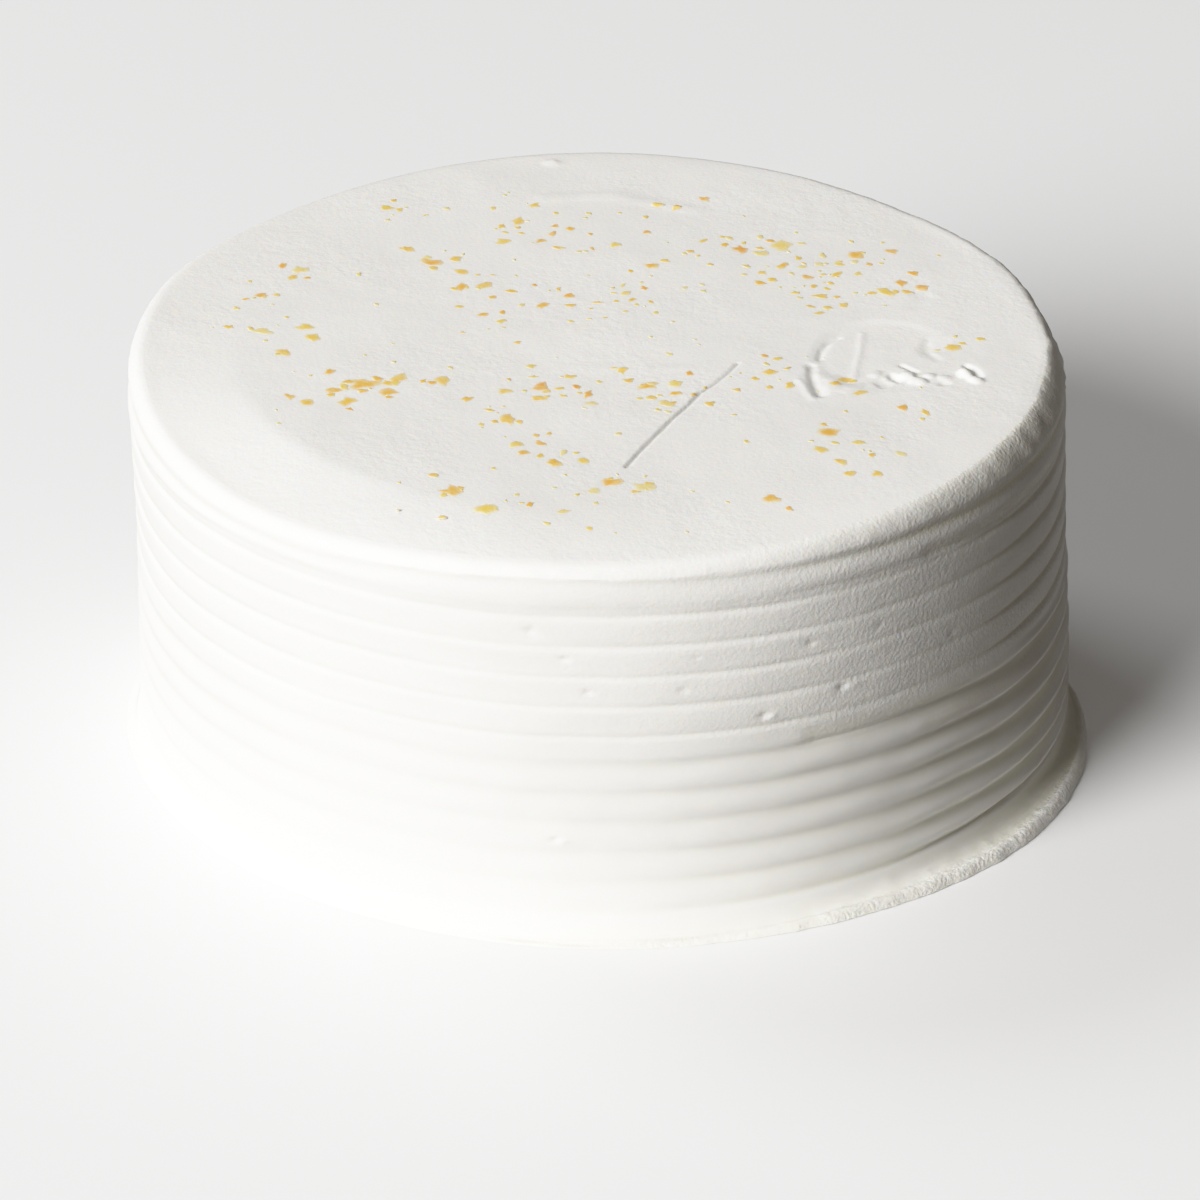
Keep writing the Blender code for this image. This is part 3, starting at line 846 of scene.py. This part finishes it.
def flake_spots():
    """(x, y, length, heading) of each of the solid's flakes, drawn as the solid draws them."""
    draw = random.Random(SEED)
    spots = []
    for x, y, spread, number, longest in FLAKE_PATCHES:
        for index in range(number):
            share = 0.0 if index == 0 else 1.0
            for _ in range(60):
                at_x = x + share * draw.gauss(0, spread)
                at_y = y + share * draw.gauss(0, spread)
                length = longest * (1.0 if index == 0 else draw.uniform(0.45, 0.85))
                heading = draw.uniform(-MOST_TURN, MOST_TURN)
                room = math.hypot(at_x, at_y) + length < FLAKE_LIMIT
                clear = all(
                    math.hypot(at_x - other[0], at_y - other[1])
                    > 0.5 * (length + other[2]) + FLAKE_GAP
                    for other in spots
                )
                if room and clear and off_relief(at_x, at_y, length):
                    spots.append((at_x, at_y, length, heading))
                    break
    return spots


# Rings of a flake: reach, height as a share of its rise, and how fully it has its own colour
FLAKE_RINGS = ((1.34, -0.60, 0.0), (1.04, 0.45, 0.38), (0.70, 0.85, 0.85), (0.34, 1.0, 1.0))
FLAKE_SIDES = 10


def add_flake(shape, tints, cores, spot, draw, shade=None):
    """A thin crumpled leaf with an uneven outline, fading into the icing at its edge."""
    x, y, length, heading = spot
    width = length * draw.uniform(0.55, 1.0)
    rise = draw.uniform(0.00005, 0.00010)
    tint = draw.random() if shade is None else shade
    outline = [draw.uniform(0.55, 1.2) for _ in range(FLAKE_SIDES)]
    places = []
    for reach, height, core in FLAKE_RINGS:
        cores.extend([core] * FLAKE_SIDES)
        for side in range(FLAKE_SIDES):
            turn = 2 * math.pi * side / FLAKE_SIDES
            along = 0.5 * length * reach * outline[side] * math.cos(turn)
            across = 0.5 * width * reach * outline[side] * math.sin(turn)
            places.append((
                x + along * math.cos(heading) - across * math.sin(heading),
                y + along * math.sin(heading) + across * math.cos(heading),
                rise * height * (draw.uniform(0.7, 1.3) if height > 0 else 1),
            ))
    at_x, at_y, lift = np.array(places).T
    corners = [shape.verts.new(place) for place in zip(at_x, at_y, top_height(at_x, at_y) + lift)]
    rings = [corners[start:start + FLAKE_SIDES] for start in range(0, len(corners), FLAKE_SIDES)]
    for lower, upper in zip(rings, rings[1:]):
        for side in range(FLAKE_SIDES):
            after = (side + 1) % FLAKE_SIDES
            shape.faces.new((lower[side], lower[after], upper[after], upper[side]))
    shape.faces.new(rings[-1])
    tints.extend([tint] * len(corners))


def flakes(shift):
    """All the flakes as one mesh: the solid's, scraps round the largest, the gouge's, and specks."""
    draw = random.Random(SEED + 2)
    shape = bmesh.new()
    tints, cores = [], []
    least_x, most_x, least_y, most_y = CLUMP
    for spot in flake_spots():
        x, y, length, _ = spot
        clump = least_x < x < most_x and least_y < y < most_y
        add_flake(shape, tints, cores, spot, draw, draw.uniform(0.0, CLUMP_TINT) if clump else None)
        for _ in range(round((length - LONG_FLAKE) / SCRAP_STEP)):
            spread = SCRAP_SPREAD * length
            beside = (x + draw.gauss(0, spread), y + draw.gauss(0, spread))
            scrap = (*beside, SCRAP_SIZE * length, draw.uniform(-MOST_TURN, MOST_TURN))
            add_flake(shape, tints, cores, scrap, draw)
    for x, y, length, heading, tint in GOUGE_FLAKES:
        add_flake(shape, tints, cores, (x, y, length, heading), draw, tint)
    for x, y, spread, number, _ in FLAKE_PATCHES:
        for _ in range(round(SPECK_SHARE * number)):
            at_x = x + draw.gauss(0, 2 * spread)
            at_y = y + draw.gauss(0, 2 * spread)
            speck = (at_x, at_y, draw.uniform(*SPECK_LENGTHS), draw.uniform(-MOST_TURN, MOST_TURN))
            if math.hypot(at_x, at_y) < FLAKE_LIMIT:
                add_flake(shape, tints, cores, speck, draw, draw.uniform(0.75, 1.0))
    mesh = bpy.data.meshes.new("flakes")
    shape.to_mesh(mesh)
    shape.free()
    mesh.transform(Matrix.Translation(shift))
    add_values(mesh, {"tint": tints, "core": cores})
    mesh.shade_smooth()
    made = mesh_object("flakes", mesh)
    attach(made, "root")
    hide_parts("cake")
    return made


class Nodes:
    """A material's node tree, with short calls for the nodes used here."""

    def __init__(self, name):
        self.material = bpy.data.materials.new(name)
        self.material.use_nodes = True
        self.tree = self.material.node_tree
        self.shader = self.tree.nodes["Principled BSDF"]

    def add(self, kind, **values):
        node = self.tree.nodes.new(kind)
        for key, value in values.items():
            if key in node.inputs:
                node.inputs[key].default_value = value
            else:
                setattr(node, key, value)
        return node

    def link(self, source, target):
        self.tree.links.new(source, target)

    def noise(self, scale, detail, roughness=0.5):
        node = self.add("ShaderNodeTexNoise", Scale=scale, Detail=detail, Roughness=roughness)
        self.link(self.add("ShaderNodeTexCoord").outputs["Object"], node.inputs["Vector"])
        return node.outputs["Fac"]

    def attribute(self, label):
        node = self.add("ShaderNodeAttribute", attribute_name=label)
        return node.outputs["Fac"]

    def math(self, operation, first, second):
        node = self.add("ShaderNodeMath", operation=operation)
        for socket, value in zip(node.inputs, (first, second)):
            if isinstance(value, (int, float)):
                socket.default_value = value
            else:
                self.link(value, socket)
        return node.outputs[0]

    def spread(self, source, low, high, to_low=0.0, to_high=1.0):
        node = self.add("ShaderNodeMapRange")
        self.link(source, node.inputs["Value"])
        limits = {"From Min": low, "From Max": high, "To Min": to_low, "To Max": to_high}
        for label, value in limits.items():
            node.inputs[label].default_value = value
        return node.outputs["Result"]

    def mix(self, share, first, second):
        node = self.add("ShaderNodeMix", data_type="RGBA")
        self.link(share, node.inputs[0])
        for socket, value in ((node.inputs[6], first), (node.inputs[7], second)):
            if isinstance(value, tuple):
                socket.default_value = value
            else:
                self.link(value, socket)
        return node.outputs[2]

    def bump(self, height, distance, before=None):
        node = self.add("ShaderNodeBump", Strength=1.0, Distance=distance)
        self.link(height, node.inputs["Height"])
        if before is not None:
            self.link(before, node.inputs["Normal"])
        return node.outputs["Normal"]


ICING_WARM = (0.865, 0.855, 0.825, 1)
ICING_PALE = (0.885, 0.877, 0.850, 1)
ICING_SPECK = (0.820, 0.812, 0.775, 1)
# Painted shade: the darker yellow of the grooves, torn strips, creases, fillet, foot and shaded
# rounding
ICING_HOLLOW_SHADE = (0.750, 0.730, 0.585, 1)
# Grey along the scratches, and dark painted shade in the gouge's pit and the creases
ICING_GREY_AND_SHADE = (0.500, 0.490, 0.465, 1)
FLAKE_ORANGE = (0.86, 0.42, 0.080, 1)
FLAKE_AMBER = (0.88, 0.53, 0.075, 1)
FLAKE_YELLOW = (0.88, 0.64, 0.130, 1)
FLAKE_PALE = (0.87, 0.75, 0.38, 1)
FLAKE_PATCH = (0.87, 0.74, 0.34, 1)
FLAKE_EDGE = (0.87, 0.84, 0.70, 1)
FLOOR_GREY = (0.875, 0.88, 0.89, 1)
REFLECTOR_WHITE = (0.88, 0.88, 0.85, 1)


def icing_material():
    """Soft white icing: cloudy, speckled where it is grainy, with darker yellow painted shade in its
    grooves, creases and fillet, grey along the scratches and dark painted shade in the gouge's pit.
    """
    nodes = Nodes("icing")
    shader = nodes.shader
    grain = nodes.attribute("grain")
    cloudy = nodes.spread(nodes.noise(26, 1), 0.35, 0.65)
    colour = nodes.mix(cloudy, ICING_WARM, ICING_PALE)
    specks = nodes.spread(nodes.noise(700, 1), 0.42, 0.60)
    speckled = nodes.math("MULTIPLY", nodes.math("MULTIPLY", specks, grain), 0.35)
    colour = nodes.mix(speckled, colour, ICING_SPECK)
    # Painted shade: darker yellow in the grooves and the other hollows
    hollow_shade_mix = nodes.math("MULTIPLY", nodes.attribute("hollow_painted_shade"), 0.6)
    colour = nodes.mix(hollow_shade_mix, colour, ICING_HOLLOW_SHADE)
    # Grey along the scratches, and painted shade in the gouge's pit and the creases
    grey_and_shade_mix = nodes.math("MULTIPLY", nodes.attribute("scratch_grey_and_shade"), 0.75)
    colour = nodes.mix(grey_and_shade_mix, colour, ICING_GREY_AND_SHADE)
    nodes.link(colour, shader.inputs["Base Color"])
    shader.inputs["Roughness"].default_value = 0.57
    shader.inputs["Subsurface Weight"].default_value = 0.4
    shader.inputs["Subsurface Radius"].default_value = (1.0, 0.80, 0.55)
    shader.inputs["Subsurface Scale"].default_value = 0.0006
    shader.inputs["Specular IOR Level"].default_value = 0.35
    patches = nodes.spread(nodes.noise(38, 1), 0.40, 0.62, 0.10, 1.2)
    patchy = nodes.math("MULTIPLY", nodes.attribute("coarse"), patches)
    coarse = nodes.math("MULTIPLY", nodes.noise(480, 2, 0.6), patchy)
    normal = nodes.bump(coarse, 0.00036)
    fine = nodes.math("MULTIPLY", nodes.noise(1100, 1, 0.6), grain)
    normal = nodes.bump(fine, 0.00018, normal)
    nodes.link(normal, shader.inputs["Normal"])
    return nodes.material


def flake_material():
    """Golden flakes, each from orange to pale yellow by its tint, fading into the icing at its edge."""
    nodes = Nodes("flakes")
    shader = nodes.shader
    tint = nodes.attribute("tint")
    colour = nodes.mix(nodes.spread(tint, 0.0, 0.25), FLAKE_ORANGE, FLAKE_AMBER)
    colour = nodes.mix(nodes.spread(tint, 0.25, 0.75), colour, FLAKE_YELLOW)
    colour = nodes.mix(nodes.spread(tint, 0.75, 1.0), colour, FLAKE_PALE)
    patchy = nodes.spread(nodes.noise(500, 2), 0.42, 0.65)
    colour = nodes.mix(nodes.math("MULTIPLY", patchy, 0.5), colour, FLAKE_PATCH)
    colour = nodes.mix(nodes.attribute("core"), FLAKE_EDGE, colour)
    nodes.link(colour, shader.inputs["Base Color"])
    shader.inputs["Roughness"].default_value = 0.5
    shader.inputs["Subsurface Weight"].default_value = 0.0
    nodes.link(nodes.bump(nodes.noise(1400, 2), 0.00006), shader.inputs["Normal"])
    return nodes.material


def plain_material(name, colour, roughness, glow=0.0):
    nodes = Nodes(name)
    nodes.shader.inputs["Emission Color"].default_value = (1, 1, 1, 1)
    nodes.shader.inputs["Emission Strength"].default_value = glow
    nodes.shader.inputs["Base Color"].default_value = colour
    nodes.shader.inputs["Roughness"].default_value = roughness
    return nodes.material


FLOOR_SIZE = 12
REFLECTOR_RADIUS = 0.127
REFLECTOR_GAP = 0.0002


def floor():
    """A pale ground that glows a little and throws no light at the cake."""
    bpy.ops.mesh.primitive_plane_add(size=FLOOR_SIZE, location=(0, 0, 0))
    made = bpy.context.active_object
    made.name = "floor"
    made.data.materials.append(plain_material("floor", FLOOR_GREY, 0.7, glow=0.045))
    made.visible_diffuse = False
    made.visible_shadow = False


def reflector():
    """A pale disc just under the floor, which throws light up at the foot and the lower rings."""
    bpy.ops.mesh.primitive_circle_add(
        vertices=96, radius=REFLECTOR_RADIUS, fill_type="NGON", location=(0, 0, -REFLECTOR_GAP)
    )
    made = bpy.context.active_object
    made.name = "reflector"
    made.data.materials.append(plain_material("reflector", REFLECTOR_WHITE, 0.8))
    made.visible_camera = False


# The camera that was fitted to the photo: metres, degrees and the photo's own pixels
CAMERA_DISTANCE = 1.400
CAMERA_HEIGHT_ANGLE = 27.6
CAMERA_FOCAL_PIXELS = 6323.0
IMAGE_WIDTH = 1200.0
LOOK_AT = Vector((0.0006, 0.0, 0.0272))


def camera(shift):
    """The photo's camera, level from left to right and aimed at the cake from the front."""
    data = bpy.data.cameras.new("camera")
    data.sensor_width = 36.0
    data.lens = data.sensor_width * CAMERA_FOCAL_PIXELS / IMAGE_WIDTH
    made = bpy.data.objects.new("camera", data)
    bpy.context.scene.collection.objects.link(made)
    height = math.radians(CAMERA_HEIGHT_ANGLE)
    away = Vector((0, -math.cos(height), math.sin(height)))
    target = LOOK_AT + shift
    made.location = target + CAMERA_DISTANCE * away
    made.rotation_euler = (-away).to_track_quat("-Z", "Y").to_euler()
    bpy.context.scene.camera = made


# The middle of the sphere that the lights stand on
LIGHTS_MIDDLE = Vector((0, 0, 0.04))


def area_light(name, azimuth, height, distance, size, power, colour):
    """A soft light on a sphere round the cake; azimuth 0 is over the camera and 90 is on the right."""
    data = bpy.data.lights.new(name, "AREA")
    data.shape = "DISK"
    data.size = size
    data.energy = power
    data.color = colour
    made = bpy.data.objects.new(name, data)
    bpy.context.scene.collection.objects.link(made)
    azimuth, height = math.radians(azimuth), math.radians(height)
    away = Vector((
        math.sin(azimuth) * math.cos(height), -math.cos(azimuth) * math.cos(height), math.sin(height)
    ))
    made.location = distance * away + LIGHTS_MIDDLE
    made.rotation_euler = (-away).to_track_quat("-Z", "Y").to_euler()


KEY_LIGHT = {"azimuth": -43, "height": 28, "distance": 6.0, "size": 3.2, "power": 550}
BACK_LIGHT = {"azimuth": -130, "height": 45, "distance": 4.0, "size": 1.8, "power": 38}
WORLD_COLOUR = (1.0, 0.90, 0.79, 1)
WORLD_STRENGTH = 0.097
# The picture's tone curve: brightness before and after
TONES = ((0.25, 0.375), (0.5, 0.735), (0.6, 0.845), (0.75, 0.940))


def lights():
    area_light("key", colour=(1.0, 0.995, 0.985), **KEY_LIGHT)
    area_light("back", colour=(0.97, 0.985, 1.0), **BACK_LIGHT)
    world = bpy.data.worlds.new("world")
    world.use_nodes = True
    world.node_tree.nodes["Background"].inputs["Color"].default_value = WORLD_COLOUR
    world.node_tree.nodes["Background"].inputs["Strength"].default_value = WORLD_STRENGTH
    bpy.context.scene.world = world


def tone_curve():
    """Rolls off the brightest tones gently."""
    view = bpy.context.scene.view_settings
    view.view_transform = "Standard"
    view.use_curve_mapping = True
    view.curve_mapping.white_level = (1.5, 1.5, 1.5)
    curve = view.curve_mapping.curves[3]
    for before, after in TONES:
        curve.points.new(before, after)
    view.curve_mapping.update()


def main():
    body, shift = icing()
    body.data.materials.append(icing_material())
    scattered = flakes(shift)
    scattered.data.materials.append(flake_material())
    floor()
    reflector()
    camera(shift)
    lights()
    tone_curve()
    print("icing triangles", sum(len(face.vertices) - 2 for face in body.data.polygons))
    print("flake triangles", sum(len(face.vertices) - 2 for face in scattered.data.polygons))


main()
